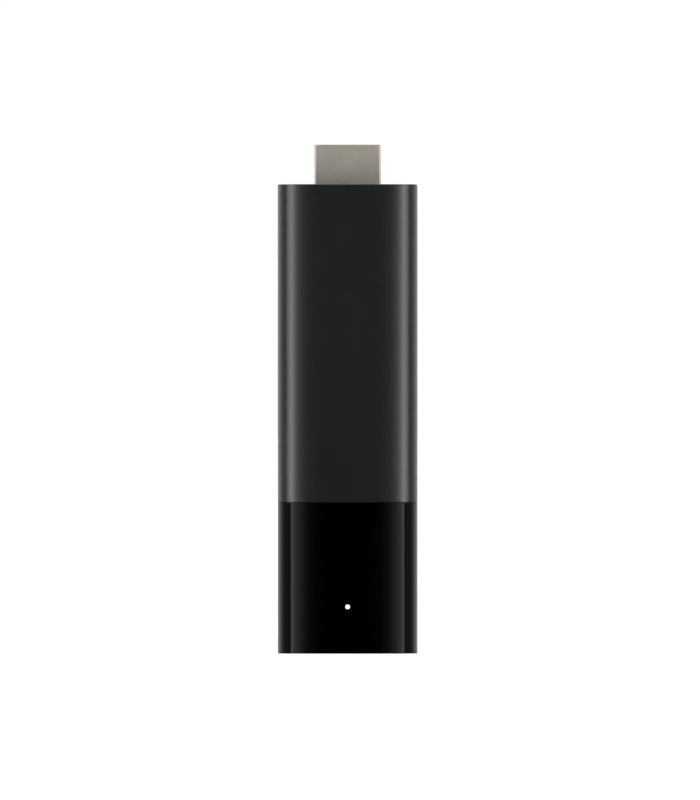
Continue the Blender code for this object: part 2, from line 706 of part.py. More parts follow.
def main():
    for old in list(bpy.data.objects):
        bpy.data.objects.remove(old, do_unlink=True)
    looks = {
        "matte": finish("matte_shell", (0.016, 0.017, 0.017), 0.42),
        "gloss": finish("gloss_shell", (0.004, 0.004, 0.004), 0.08),
        "steel": finish("plug_steel", (0.55, 0.53, 0.5), 0.35, 1.0),
        "gold": finish("contact_gold", (0.83, 0.62, 0.28), 0.3, 1.0),
        "insulator": finish("insulator_plastic", (0.01, 0.01, 0.01), 0.5),
        "carrier": finish("carrier_plastic", (0.03, 0.03, 0.032), 0.55),
        "clear": finish("light_pipe_clear", (0.95, 0.96, 1.0), 0.2),
        "foam": finish("gasket_foam", (0.12, 0.12, 0.13), 0.9),
        "board": finish("board_mask", (0.01, 0.05, 0.03), 0.35),
        "chip": finish("chip_epoxy", (0.02, 0.02, 0.022), 0.6),
        "tin": finish("shield_tin", (0.62, 0.62, 0.6), 0.35, 1.0),
        "ferrite": finish("coil_ferrite", (0.07, 0.07, 0.075), 0.6),
        "ceramic": finish("capacitor_ceramic", (0.42, 0.3, 0.18), 0.4),
        "led": finish("led_body", (0.85, 0.82, 0.7), 0.4),
        "pad": finish("thermal_pad", (0.35, 0.45, 0.5), 0.85),
        "aluminium": finish("spreader_aluminium", (0.7, 0.7, 0.71), 0.4, 1.0),
        "screw": finish("screw_steel", (0.25, 0.25, 0.26), 0.35, 1.0),
    }
    casing = group("casing")
    plug = group("hdmi_plug")
    socket = group("usb_socket")
    electronics = group("electronics")

    make_main_sleeve(casing, looks["matte"])
    make_tail_cap(casing, looks["gloss"])
    make_plug_end_plate(casing, looks["matte"])
    make_board_carrier(casing, looks["carrier"])
    make_light_pipe(casing, looks["clear"])
    make_plug_gasket(casing, looks["foam"])
    make_hdmi_plug(plug, looks["steel"], looks["insulator"], looks["gold"])
    make_usb_socket(socket, looks["steel"], looks["insulator"], looks["gold"])
    make_main_board(electronics, looks["board"])
    make_components(electronics, looks)
    make_shields(electronics, looks["tin"])
    make_cooling(electronics, looks["pad"], looks["aluminium"])
    make_antennas(electronics, looks["tin"])
    make_screws(electronics, looks["screw"])


main()
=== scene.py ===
import math

import bmesh
import bpy
from mathutils import Matrix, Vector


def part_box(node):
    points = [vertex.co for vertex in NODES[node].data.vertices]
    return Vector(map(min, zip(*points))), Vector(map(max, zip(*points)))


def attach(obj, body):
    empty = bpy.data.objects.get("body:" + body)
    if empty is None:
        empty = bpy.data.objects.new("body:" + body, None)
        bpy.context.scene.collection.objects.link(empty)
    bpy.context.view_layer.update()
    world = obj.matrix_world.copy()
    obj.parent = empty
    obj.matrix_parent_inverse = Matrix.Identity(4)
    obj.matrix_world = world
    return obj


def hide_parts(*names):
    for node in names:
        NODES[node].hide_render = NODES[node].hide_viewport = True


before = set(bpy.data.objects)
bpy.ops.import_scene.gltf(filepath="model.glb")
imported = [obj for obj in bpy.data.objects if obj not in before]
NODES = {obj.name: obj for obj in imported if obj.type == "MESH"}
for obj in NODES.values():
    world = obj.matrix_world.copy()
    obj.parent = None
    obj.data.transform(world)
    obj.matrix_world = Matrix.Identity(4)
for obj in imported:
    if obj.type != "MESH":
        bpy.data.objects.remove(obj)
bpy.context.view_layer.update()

MM = 0.001

# Sizes read from the frame
BODY_HALF_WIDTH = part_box("tail_cap")[1].x
BODY_HALF_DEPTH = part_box("tail_cap")[1].y
SLEEVE_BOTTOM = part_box("main_sleeve")[0].z
SLEEVE_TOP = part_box("main_sleeve")[1].z
PLATE_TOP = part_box("plug_end_plate")[1].z
CAP_TOP = SLEEVE_BOTTOM - 0.015 * MM
PLUG_HALF_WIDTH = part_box("hdmi_shell")[1].x
PLUG_HALF_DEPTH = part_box("hdmi_shell")[1].y
PLUG_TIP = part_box("hdmi_shell")[1].z
PLUG_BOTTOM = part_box("hdmi_insulator")[0].z + 0.2 * MM
LIGHT_HEIGHT = (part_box("light_pipe")[0].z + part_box("light_pipe")[1].z) / 2
PLATE_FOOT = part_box("plug_end_plate")[0].z

# A hair under the CAD's wall, so that the smooth inside clears the corners of the screw bosses.
WALL = 1.48 * MM
SIDE_REACH = 9.3 * MM
SIDE_POWER = 2.3
SIDE_STEPS = 36
SLEEVE_RIM = 0.9 * MM
LEDGE = PLATE_FOOT + 3.0 * MM
PLUG_SHEET = 0.3 * MM
SOCKET_WIDTH = 6.9 * MM
SOCKET_DEPTH = 1.85 * MM
SOCKET_SHEET = 0.3 * MM
LIGHT_RADIUS = 0.52 * MM
CORNER_STEPS = 10
LEAST_CORNER = 0.05 * MM
SMOOTH_BELOW = math.radians(35)


# Camera, level with the middle of the stick and square to its front. A very long lens keeps it flat.

FRAME_HEIGHT = 167.88 * MM
LENS = 1200.0
SENSOR = 36.0
FRAME_CENTRE = (0.0005, 0.05315)
CLIP_END = 50.0


def make_camera():
    data = bpy.data.cameras.new("camera")
    data.lens = LENS
    data.sensor_width = SENSOR
    data.clip_end = CLIP_END
    camera = bpy.data.objects.new("camera", data)
    distance = FRAME_HEIGHT * LENS / SENSOR
    camera.location = (FRAME_CENTRE[0], -distance, FRAME_CENTRE[1])
    camera.rotation_euler = (math.pi / 2, 0, 0)
    bpy.context.scene.collection.objects.link(camera)
    bpy.context.scene.camera = camera


# Node helpers


class Nodes:
    """A small writer for a node tree: each call adds a node and returns its output."""

    def __init__(self, tree):
        self.tree = tree

    def add(self, kind, **settings):
        node = self.tree.nodes.new(kind)
        for name, value in settings.items():
            setattr(node, name, value)
        return node

    def feed(self, socket, value):
        if isinstance(value, bpy.types.NodeSocket):
            self.tree.links.new(value, socket)
        elif value is not None:
            socket.default_value = value

    def math(self, operation, a, b=None):
        node = self.add("ShaderNodeMath", operation=operation)
        for socket, value in zip(node.inputs, (a, b)):
            self.feed(socket, value)
        return node.outputs[0]

    def blend(self, a, b, share):
        """Two values weighed together, with that share of the second."""
        return self.math("ADD", self.math("MULTIPLY", a, 1 - share), self.math("MULTIPLY", b, share))

    def spread(self, value, low, high, to_low=0.0, to_high=1.0, smooth=False):
        """Maps a value's range to another, clamped."""
        node = self.add("ShaderNodeMapRange")
        node.interpolation_type = "SMOOTHSTEP" if smooth else "LINEAR"
        for socket, given in zip(node.inputs, (value, low, high, to_low, to_high)):
            self.feed(socket, given)
        return node.outputs[0]

    def ramp(self, value, stops):
        """A ramp through (place, grey) stops."""
        node = self.add("ShaderNodeValToRGB")
        ramp = node.color_ramp
        while len(ramp.elements) < len(stops):
            ramp.elements.new(0.5)
        for element, (place, grey) in zip(ramp.elements, stops):
            element.position = place
            element.color = (grey, grey, grey, 1.0)
        self.feed(node.inputs[0], value)
        return node.outputs[0]

    def mix(self, share, a, b, blend="MIX"):
        """Two colours mixed by share."""
        node = self.add("ShaderNodeMix", data_type="RGBA", blend_type=blend)
        for name, value in (("Factor_Float", share), ("A_Color", a), ("B_Color", b)):
            socket = next(s for s in node.inputs if s.identifier == name)
            if isinstance(value, tuple) and len(value) == 3:
                value = (*value, 1.0)
            self.feed(socket, value)
        return next(s for s in node.outputs if s.identifier == "Result_Color")

    def place(self, scale=(1, 1, 1)):
        """Points in the object's own metres, stretched."""
        coordinates = self.add("ShaderNodeTexCoord").outputs["Object"]
        mapping = self.add("ShaderNodeMapping")
        self.feed(mapping.inputs["Vector"], coordinates)
        mapping.inputs["Scale"].default_value = scale
        return mapping.outputs[0]

    def noise(self, size, detail, rough, stretch=(1, 1, 1)):
        """Noise whose features are about that size, in metres."""
        node = self.add("ShaderNodeTexNoise")
        self.feed(node.inputs["Vector"], self.place(stretch))
        node.inputs["Scale"].default_value = 1 / size
        node.inputs["Detail"].default_value = detail
        node.inputs["Roughness"].default_value = rough
        return node.outputs["Fac"]

    def cells(self, size, feature="F1", stretch=(1, 1, 1)):
        """Distances in a pattern of cells about that size, in metres."""
        node = self.add("ShaderNodeTexVoronoi", feature=feature)
        self.feed(node.inputs["Vector"], self.place(stretch))
        node.inputs["Scale"].default_value = 1 / size
        return node.outputs["Distance"]

    def bump(self, height, depth, strength):
        node = self.add("ShaderNodeBump")
        node.inputs["Strength"].default_value = strength
        node.inputs["Distance"].default_value = depth
        self.feed(node.inputs["Height"], height)
        return node.outputs[0]


def finish(name, make, **constants):
    """A Principled material. make fills in what varies; the rest is set on the shader's sockets."""
    material = bpy.data.materials.new(name)
    material.use_nodes = True
    tree = material.node_tree
    shader = tree.nodes["Principled BSDF"]
    for socket, value in constants.items():
        shader.inputs[socket.replace("_", " ")].default_value = value
    nodes = Nodes(tree)
    for socket, value in make(nodes).items():
        nodes.feed(shader.inputs[socket], value)
    return material


def tint(colour, by):
    return tuple(c * by for c in colour)


# Finishes

SATIN_BLACKS = ((0.0151, 0.0156, 0.0158), (0.017, 0.0175, 0.0177))


def satin_plastic(n):
    """Fine spark-eroded texture with a faint cloudiness."""
    cloud = n.noise(14 * MM, 3, 0.5)
    grain = n.noise(0.07 * MM, 2, 0.6)
    pits = n.cells(0.09 * MM, "SMOOTH_F1")
    colour = n.mix(n.spread(cloud, 0.3, 0.7), *SATIN_BLACKS)
    rough = n.spread(n.blend(cloud, grain, 0.5), 0.3, 0.7, 0.205, 0.225)
    texture = n.blend(grain, pits, 0.4)
    return {"Base Color": colour, "Roughness": rough, "Normal": n.bump(texture, 0.002 * MM, 0.4)}


def polished_plastic(n):
    """Mirror-polished black: barely visible flow waves, and a haze of the finest hairlines."""
    wave = n.noise(9 * MM, 2, 0.4, (1, 1, 0.35))
    hair = n.noise(0.4 * MM, 3, 0.7, (1, 1, 0.04))
    colour = n.mix(n.spread(wave, 0.3, 0.7), (0.0002, 0.0002, 0.0002), (0.0005, 0.0005, 0.0005))
    rough = n.spread(n.blend(wave, hair, 0.6), 0.3, 0.7, 0.028, 0.05)
    return {"Base Color": colour, "Roughness": rough, "Normal": n.bump(wave, 0.012 * MM, 0.4)}


def plated_steel(n):
    """Nickel plate over rolled sheet: a fine grain along the plug, with cloudy warm patches."""
    grain = n.noise(0.12 * MM, 3, 0.6, (1, 1, 0.06))
    cloud = n.noise(3.5 * MM, 3, 0.55)
    colour = n.mix(n.spread(cloud, 0.3, 0.7), (0.868, 0.779, 0.664), (0.935, 0.848, 0.727))
    rough = n.spread(n.blend(grain, cloud, 0.5), 0.3, 0.7, 0.34, 0.44)
    return {"Base Color": colour, "Roughness": rough, "Normal": n.bump(grain, 0.002 * MM, 0.5)}


def moulded(low, high, rough_low, rough_high, grain_size=0.12 * MM, depth=0.004 * MM):
    """Plain moulded plastic or rubber with a grain, between two shades."""

    def make(n):
        cloud = n.noise(5 * MM, 4, 0.55)
        grain = n.noise(grain_size, 3, 0.6)
        colour = n.mix(n.spread(n.math("ADD", cloud, grain), 0.7, 1.3), low, high)
        rough = n.spread(cloud, 0.3, 0.7, rough_low, rough_high)
        return {"Base Color": colour, "Roughness": rough, "Normal": n.bump(grain, depth, 0.6)}

    return make


def brushed(colour, rough_low, rough_high, stretch=(1, 1, 0.05), size=0.1 * MM):
    """Rolled or drawn metal, with its lines along one direction and a soft stain here and there."""

    def make(n):
        line = n.noise(size, 4, 0.65, stretch)
        stain = n.noise(4 * MM, 4, 0.6)
        shade = n.blend(line, stain, 0.5)
        base = n.mix(n.spread(shade, 0.35, 0.65), tint(colour, 0.8), colour)
        rough = n.spread(shade, 0.35, 0.65, rough_high, rough_low)
        return {"Base Color": base, "Roughness": rough, "Normal": n.bump(line, 0.002 * MM, 0.5)}

    return make


def solder_mask(n):
    """Green mask over copper traces: the copper shows as lighter raised lines between bare lanes."""
    lanes = n.cells(1.7 * MM, "DISTANCE_TO_EDGE", (1, 1, 0.6))
    traces = n.spread(lanes, 0.04, 0.09, 1.0, 0.0, True)
    vias = n.spread(n.cells(2.3 * MM), 0.1, 0.14, 1.0, 0.0, True)
    copper = n.math("MAXIMUM", traces, vias)
    weave = n.noise(0.5 * MM, 2, 0.5)
    mask = n.mix(weave, (0.006, 0.05, 0.028), (0.01, 0.065, 0.036))
    colour = n.mix(copper, mask, (0.03, 0.13, 0.06))
    height = n.math("ADD", copper, n.math("MULTIPLY", weave, 0.15))
    return {
        "Base Color": colour,
        "Roughness": n.spread(weave, 0.3, 0.7, 0.22, 0.36),
        "Normal": n.bump(height, 0.03 * MM, 0.6),
    }


def metal_cloth(n):
    """The gasket's woven, metallised wrapping."""
    weave = n.cells(0.2 * MM, "F1", (1, 1, 1.6))
    fuzz = n.noise(0.08 * MM, 3, 0.6)
    colour = n.mix(weave, (0.1, 0.1, 0.105), (0.26, 0.26, 0.27))
    return {
        "Base Color": colour,
        "Roughness": n.spread(fuzz, 0.3, 0.7, 0.5, 0.75),
        "Normal": n.bump(n.math("ADD", weave, fuzz), 0.02 * MM, 0.8),
    }


def lit_lens(n):
    """The light pipe's face, lit in the middle and fading towards its rim."""
    frost = n.noise(0.1 * MM, 3, 0.6)
    colour = n.mix(frost, (0.86, 0.88, 0.92), (0.95, 0.96, 1.0))
    split = n.add("ShaderNodeSeparateXYZ")
    n.feed(split.inputs[0], n.place())
    across, _, height = split.outputs
    up = n.math("SUBTRACT", height, LIGHT_HEIGHT)
    squares = n.math("ADD", n.math("MULTIPLY", across, across), n.math("MULTIPLY", up, up))
    off_centre = n.math("SQRT", squares)
    fade_start, fade_end = LIGHT_RADIUS - 0.24 * MM, LIGHT_RADIUS - 0.01 * MM
    lit = n.spread(off_centre, fade_start, fade_end, 1.0, 0.02)
    return {
        "Base Color": colour,
        "Roughness": n.spread(frost, 0.3, 0.7, 0.2, 0.35),
        "Normal": n.bump(frost, 0.003 * MM, 0.4),
        "Emission Color": n.mix(lit, (0.0, 0.0, 0.0), colour),
    }


def make_finishes():
    along_board, along_screw = (0.06, 1, 1), (1, 0.2, 1)
    return {
        "satin": finish("satin_plastic", satin_plastic, IOR=2.0),
        "plate": finish("matte_plastic", moulded(*SATIN_BLACKS, 0.38, 0.46)),
        "gloss": finish("polished_plastic", polished_plastic, IOR=1.33),
        "plug": finish("plated_steel", plated_steel, Metallic=0.6),
        "lens": finish("lit_lens", lit_lens, Emission_Strength=1.2),
        "insulator": finish(
            "insulator_plastic", moulded((0.007, 0.007, 0.0075), (0.014, 0.014, 0.015), 0.42, 0.55)
        ),
        "carrier": finish(
            "carrier_plastic", moulded((0.022, 0.022, 0.024), (0.036, 0.036, 0.038), 0.45, 0.6)
        ),
        "chip": finish(
            "chip_epoxy", moulded((0.012, 0.012, 0.013), (0.03, 0.03, 0.032), 0.5, 0.66, 0.09 * MM)
        ),
        "ferrite": finish(
            "coil_ferrite", moulded((0.04, 0.04, 0.043), (0.09, 0.09, 0.095), 0.5, 0.7, 0.15 * MM, 0.012 * MM)
        ),
        "ceramic": finish(
            "capacitor_ceramic", moulded((0.33, 0.22, 0.12), (0.48, 0.34, 0.2), 0.3, 0.45, 0.2 * MM)
        ),
        "led": finish("led_body", moulded((0.75, 0.7, 0.52), (0.85, 0.82, 0.66), 0.3, 0.45)),
        "pad": finish(
            "thermal_pad", moulded((0.28, 0.37, 0.42), (0.38, 0.48, 0.53), 0.75, 0.9, 0.3 * MM, 0.02 * MM)
        ),
        "gold": finish("contact_gold", brushed((0.86, 0.63, 0.27), 0.2, 0.34), Metallic=1.0),
        "tin": finish(
            "shield_tin", brushed((0.68, 0.68, 0.66), 0.28, 0.42, along_board, 0.15 * MM), Metallic=1.0
        ),
        "aluminium": finish("spreader_aluminium", brushed((0.74, 0.74, 0.75), 0.3, 0.45), Metallic=1.0),
        "screw": finish("screw_steel", brushed((0.2, 0.2, 0.21), 0.3, 0.45, along_screw), Metallic=1.0),
        "board": finish("solder_mask", solder_mask),
        "cloth": finish("metal_cloth", metal_cloth, Metallic=0.7),
    }


FINISH_OF = {
    "board_carrier": "carrier",
    "plug_gasket": "cloth",
    "hdmi_insulator": "insulator",
    "usb_insulator": "insulator",
    "main_board": "board",
    "wifi_module": "tin",
    "soc_chip": "chip",
    "memory_chip": "chip",
    "storage_chip": "chip",
    "power_chip": "chip",
    "crystal_can": "tin",
    "front_shield_fence": "tin",
    "front_shield_lid": "tin",
    "back_shield_can": "tin",
    "antenna_left": "tin",
    "antenna_right": "tin",
    "power_inductor_1": "ferrite",
    "power_inductor_2": "ferrite",
    "bulk_capacitor_1": "ceramic",
    "bulk_capacitor_2": "ceramic",
    "status_led": "led",
    "soc_thermal_pad": "pad",
    "lid_thermal_pad": "pad",
    "back_thermal_pad": "pad",
    "front_heat_spreader": "aluminium",
    "back_heat_spreader": "aluminium",
}
FINISH_OF_KIND = {"hdmi_contact": "gold", "usb_contact": "gold", "board_screw": "screw"}


def finish_cad_nodes(finishes):
    for name, node in NODES.items():
        kind = name.rstrip("_0123456789")
        chosen = FINISH_OF.get(name) or FINISH_OF_KIND.get(kind)
        if chosen is None:
            continue
        node.data.materials.clear()
        node.data.materials.append(finishes[chosen])


# Outlines. Each takes an inset and gives (x, y) points, anticlockwise.


def pill(inset):
    """The casing's section: a flat front and back, and sides that follow a superellipse."""
    flat = BODY_HALF_WIDTH - SIDE_REACH
    half_depth = BODY_HALF_DEPTH - inset
    reach = SIDE_REACH - inset
    quarter = []
    for step in range(SIDE_STEPS + 1):
        turn = math.pi / 2 * step / SIDE_STEPS
        x = flat + reach * max(math.cos(turn), 0.0) ** (2 / SIDE_POWER)
        y = half_depth * math.sin(turn) ** (2 / SIDE_POWER)
        quarter.append((x, y))
    right_to_left = quarter + [(-x, y) for x, y in reversed(quarter)]
    return right_to_left + [(-x, -y) for x, y in right_to_left[1:-1]]


def offset_corner(before, corner, after, inset):
    """Where two neighbouring edges of an anticlockwise polygon meet once both move in by inset."""
    ax, ay = corner[0] - before[0], corner[1] - before[1]
    bx, by = after[0] - corner[0], after[1] - corner[1]
    a_length, b_length = math.hypot(ax, ay), math.hypot(bx, by)
    nx = -ay / a_length - by / b_length
    ny = ax / a_length + bx / b_length
    scale = 2 * inset / (nx * nx + ny * ny)
    return corner[0] + nx * scale, corner[1] + ny * scale


def rounded(corners, radii, inset):
    """A convex polygon moved in by inset, with each corner rounded to its radius less the inset."""
    count = len(corners)
    moved = []
    for i in range(count):
        moved.append(offset_corner(corners[i - 1], corners[i], corners[(i + 1) % count], inset))
    points = []
    for i in range(count):
        x, y = moved[i]
        px, py = moved[i - 1]
        qx, qy = moved[(i + 1) % count]
        into = math.atan2(y - py, x - px)
        turn = (math.atan2(qy - y, qx - x) - into) % (2 * math.pi)
        radius = max(radii[i] - inset, LEAST_CORNER)
        back = radius * math.tan(turn / 2)
        centre_x = x - back * math.cos(into) - radius * math.sin(into)
        centre_y = y - back * math.sin(into) + radius * math.cos(into)
        for step in range(CORNER_STEPS + 1):
            angle = into - math.pi / 2 + turn * step / CORNER_STEPS
            points.append((centre_x + radius * math.cos(angle), centre_y + radius * math.sin(angle)))
    return points


def plug_outline(inset):
    """The plug's section: the wide side is at the front, and the back corners slope in."""
    x, y = PLUG_HALF_WIDTH, PLUG_HALF_DEPTH
    slope_top, slope_end = 0.2 * MM, 5.05 * MM
    corners = [(-x, -y), (x, -y), (x, slope_top), (slope_end, y), (-slope_end, y), (-x, slope_top)]
    radii = [0.5 * MM, 0.5 * MM, 0.9 * MM, 0.9 * MM, 0.9 * MM, 0.9 * MM]
    return rounded(corners, radii, inset)


def socket_outline(inset):
    """The mouth of the power socket; a negative inset gives its metal shell."""
    x, y = SOCKET_WIDTH / 2, SOCKET_DEPTH / 2
    slope_top, slope_end = 0.1 * MM, 2.6 * MM
    corners = [(-x, -y), (x, -y), (x, slope_top), (slope_end, y), (-slope_end, y), (-x, slope_top)]
    return rounded(corners, [0.3 * MM] * 6, inset)


def circle_of(sides):
    """An outline function whose argument is a radius, for turned pieces."""
    turns = [2 * math.pi * i / sides for i in range(sides)]
    return lambda radius: [(radius * math.cos(t), radius * math.sin(t)) for t in turns]


# Mesh helpers


def edge_round(radius, inset, z, inward, up, steps=5):
    """Stations round an outer edge: from the side wall onto the end face. up is 1 at a top edge.

    inward is 1 for an edge whose end face lies towards the middle, and -1 for a hole's edge. A station
    a little before and after the round keeps the flat walls shading flat."""
    margin = 0.06 * MM
    stations = [(inset, z - up * (radius + margin))]
    for step in range(steps + 1):
        turn = math.pi / 2 * step / steps
        in_by, down_by = radius * (1 - math.cos(turn)), radius * (1 - math.sin(turn))
        stations.append((inset + inward * in_by, z - up * down_by))
    stations.append((inset + inward * (radius + margin), z))
    return stations


def loft(outline, stations, ring=False):
    """Bridges the outline taken at each (inset, z) station, capped at the ends or closed as a ring."""
    bm = bmesh.new()
    loops = []
    for inset, z in stations:
        loops.append([bm.verts.new((x, y, z)) for x, y in outline(inset)])
    pairs = list(zip(loops, loops[1:]))
    if ring:
        pairs.append((loops[-1], loops[0]))
    for low, high in pairs:
        for i in range(len(low)):
            j = (i + 1) % len(low)
            bm.faces.new((low[i], low[j], high[j], high[i]))
    if not ring:
        bm.faces.new(loops[0])
        bm.faces.new(loops[-1])
    return bm


def shade(mesh):
    """Shades the round stretches smooth and keeps the edges sharp."""
    mesh.shade_smooth()
    mesh.set_sharp_from_angle(angle=SMOOTH_BELOW)


def piece(name, bm, material):
    """Links a finished mesh as a piece, with its normals outward. A cutter has no material."""
    bmesh.ops.recalc_face_normals(bm, faces=bm.faces)
    mesh = bpy.data.meshes.new(name)
    bm.to_mesh(mesh)
    bm.free()
    shade(mesh)
    if material is not None:
        mesh.materials.append(material)
    made = bpy.data.objects.new(name, mesh)
    bpy.context.scene.collection.objects.link(made)
    return made


def carve(target, bm, operation="DIFFERENCE"):
    """Cuts the mesh out of the target for good, or joins it on with UNION."""
    other = piece("cutter", bm, None)
    cut = target.modifiers.new("cut", "BOOLEAN")
    cut.operation = operation
    cut.object = other
    cut.solver = "EXACT"
    graph = bpy.context.evaluated_depsgraph_get()
    mesh = bpy.data.meshes.new_from_object(target.evaluated_get(graph))
    target.modifiers.remove(cut)
    target.data = mesh
    shade(mesh)
    bpy.data.objects.remove(other, do_unlink=True)


def box_mesh(low, high):
    bm = bmesh.new()
    made = bmesh.ops.create_cube(bm, size=1.0)["verts"]
    bmesh.ops.scale(bm, vec=[b - a for a, b in zip(low, high)], verts=made)
    bmesh.ops.translate(bm, vec=[(a + b) / 2 for a, b in zip(low, high)], verts=made)
    return bm


def stand_for(made, node):
    """The piece takes the CAD node's place on the body."""
    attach(made, "root")
    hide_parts(node)


# Pieces


def make_sleeve(material):
    """The matte tube, with a thinner rim round the end plate and a ledge under it."""
    bottom, top = SLEEVE_BOTTOM, SLEEVE_TOP
    seam_round, outer_round, inner_round = 0.06 * MM, 0.12 * MM, 0.08 * MM
    stations = list(reversed(edge_round(seam_round, 0.0, bottom, 1, -1, 4)))
    stations += edge_round(outer_round, 0.0, top, 1, 1)
    stations += list(reversed(edge_round(inner_round, SLEEVE_RIM, top, -1, 1, 3)))
    stations += [(SLEEVE_RIM, LEDGE), (WALL, LEDGE), (WALL, bottom)]
    sleeve = piece("sleeve_shell", loft(pill, stations, ring=True), material)
    stand_for(sleeve, "main_sleeve")


def make_tail(material):
    """The glossy cup, with a flared opening for the power socket and the status light's hole."""
    end_thickness, seam_round, end_round = 2.0 * MM, 0.05 * MM, 0.08 * MM
    stations = [(WALL, end_thickness), (WALL, CAP_TOP)]
    stations += list(reversed(edge_round(seam_round, 0.0, CAP_TOP, 1, 1, 4)))
    stations += edge_round(end_round, 0.0, 0.0, 1, -1)
    tail = piece("tail_shell", loft(pill, stations), material)
    flare = [(-1.3 * MM, -0.05 * MM), (-1.25 * MM, 0.0), (-1.1 * MM, 0.16 * MM)]
    flare += [(-0.78 * MM, 0.48 * MM), (-0.7 * MM, 0.62 * MM), (-0.7 * MM, end_thickness + 0.5 * MM)]
    carve(tail, loft(socket_outline, flare))
    radius = LIGHT_RADIUS + 0.02 * MM
    surface = BODY_HALF_DEPTH
    bore = loft(
        circle_of(48),
        [
            (radius, surface - WALL - MM),
            (radius, surface - 0.04 * MM),
            (radius + 0.015 * MM, surface - 0.015 * MM),
            (radius + 0.065 * MM, surface + 0.035 * MM),
        ],
    )
    bmesh.ops.transform(bore, matrix=front_at(LIGHT_HEIGHT), verts=bore.verts)
    carve(tail, bore)
    stand_for(tail, "tail_cap")


def front_at(z):
    """Turns a piece lofted along +Z to stand out of the front, along -Y, at that height."""
    return Matrix.Translation((0, 0, z)) @ Matrix.Rotation(math.pi / 2, 4, "X")


def make_light(material):
    """The clear pin of the status light, with a domed face flush with the wall."""
    node_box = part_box("light_pipe")
    surface = -node_box[0].y
    inner = -node_box[1].y
    rod_radius, collar_radius = 0.9 * MM, 1.4 * MM
    collar_top, dome, dome_steps = surface - 1.58 * MM, 0.09 * MM, 7
    collar_bottom = collar_top - 0.7 * MM
    stations = [(rod_radius, inner), (rod_radius, collar_bottom), (collar_radius, collar_bottom)]
    stations += [(collar_radius, collar_top), (LIGHT_RADIUS, collar_top), (LIGHT_RADIUS, surface - dome)]
    for step in range(1, dome_steps):
        turn = math.pi / 2 * step / dome_steps
        stations.append((LIGHT_RADIUS * math.cos(turn) ** 0.5, surface - dome * (1 - math.sin(turn))))
    bm = loft(circle_of(48), stations)
    bmesh.ops.transform(bm, matrix=front_at(LIGHT_HEIGHT), verts=bm.verts)
    stand_for(piece("light_lens", bm, material), "light_pipe")


def make_end_plate(material):
    """The plate inside the sleeve's rim, with the plug's window and two legs."""
    bottom, top = PLATE_FOOT + 3.1 * MM, PLATE_TOP
    rim, edge = 1.0 * MM, 0.15 * MM
    stations = [(rim, bottom)] + edge_round(edge, rim, top, 1, 1, 4)
    plate = piece("end_plate", loft(pill, stations), material)
    window = [(-0.15 * MM, bottom - MM), (-0.15 * MM, top - 0.22 * MM), (-0.19 * MM, top - 0.12 * MM)]
    window += [(-0.27 * MM, top - 0.04 * MM), (-0.36 * MM, top), (-0.37 * MM, top + 0.2 * MM)]
    carve(plate, loft(plug_outline, window))
    for side in (-1, 1):
        near, far = sorted((side * 9.6 * MM, side * 11.8 * MM))
        leg = box_mesh((near, -1.5 * MM, PLATE_FOOT), (far, 1.5 * MM, bottom + 0.4 * MM))
        carve(plate, leg, "UNION")
    stand_for(plate, "plug_end_plate")


def make_plug(material):
    """The plug's folded shell, with a rolled rim and the seam where the sheet meets at the back."""
    outer_round, inner_round = 0.12 * MM, 0.1 * MM
    outside = edge_round(outer_round, 0.0, PLUG_TIP, 1, 1, 5)[:-1]
    inside = list(reversed(edge_round(inner_round, PLUG_SHEET, PLUG_TIP, -1, 1, 4)))[1:]
    stations = [(0.0, PLUG_BOTTOM)] + outside + inside + [(PLUG_SHEET, PLUG_BOTTOM)]
    shell = piece("plug_shell", loft(plug_outline, stations, ring=True), material)
    seam_half, seam_depth = 0.03 * MM, 0.12 * MM
    seam_low = (-seam_half, PLUG_HALF_DEPTH - seam_depth, PLUG_BOTTOM - MM)
    seam_high = (seam_half, PLUG_HALF_DEPTH + MM, PLUG_TIP + MM)
    carve(shell, box_mesh(seam_low, seam_high))
    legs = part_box("hdmi_shell")[0].z
    for side in (-1, 1):
        near, far = sorted((side * (PLUG_HALF_WIDTH - PLUG_SHEET), side * (PLUG_HALF_WIDTH - 0.01 * MM)))
        leg = box_mesh((near, -1.5 * MM, legs), (far, -0.4 * MM, PLUG_BOTTOM + MM))
        carve(shell, leg, "UNION")
    stand_for(shell, "hdmi_shell")


def make_socket(material):
    """The power socket's metal shell, rolled outward at its mouth, with a soldered tab at each side."""
    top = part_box("usb_shell")[1].z
    stations = [
        (-SOCKET_SHEET, top),
        (-SOCKET_SHEET, 1.0 * MM),
        (-0.33 * MM, 0.85 * MM),
        (-0.42 * MM, 0.65 * MM),
        (-0.5 * MM, 0.52 * MM),
        (-0.44 * MM, 0.5 * MM),
        (-0.26 * MM, 0.5 * MM),
        (-0.2 * MM, 0.53 * MM),
        (-0.12 * MM, 0.7 * MM),
        (-0.03 * MM, 0.87 * MM),
        (0.0, 1.0 * MM),
        (0.0, top),
    ]
    shell = piece("socket_shell", loft(socket_outline, stations, ring=True), material)
    for side in (-1, 1):
        near, far = sorted((side * (SOCKET_WIDTH / 2 + 0.1 * MM), side * 5.2 * MM))
        tab = box_mesh((near, -0.85 * MM, 4.8 * MM), (far, -0.55 * MM, 6.0 * MM))
        carve(shell, tab, "UNION")
    stand_for(shell, "usb_shell")


def soften(node, width):
    """A small bevel on a CAD node's edges."""
    made = NODES[node].modifiers.new("soft_edges", "BEVEL")
    made.width = width
    made.segments = 2
    made.limit_method = "ANGLE"
    made.angle_limit = math.radians(50)
    made.harden_normals = True


# Floor and light

FLOOR_REACH = 30.0


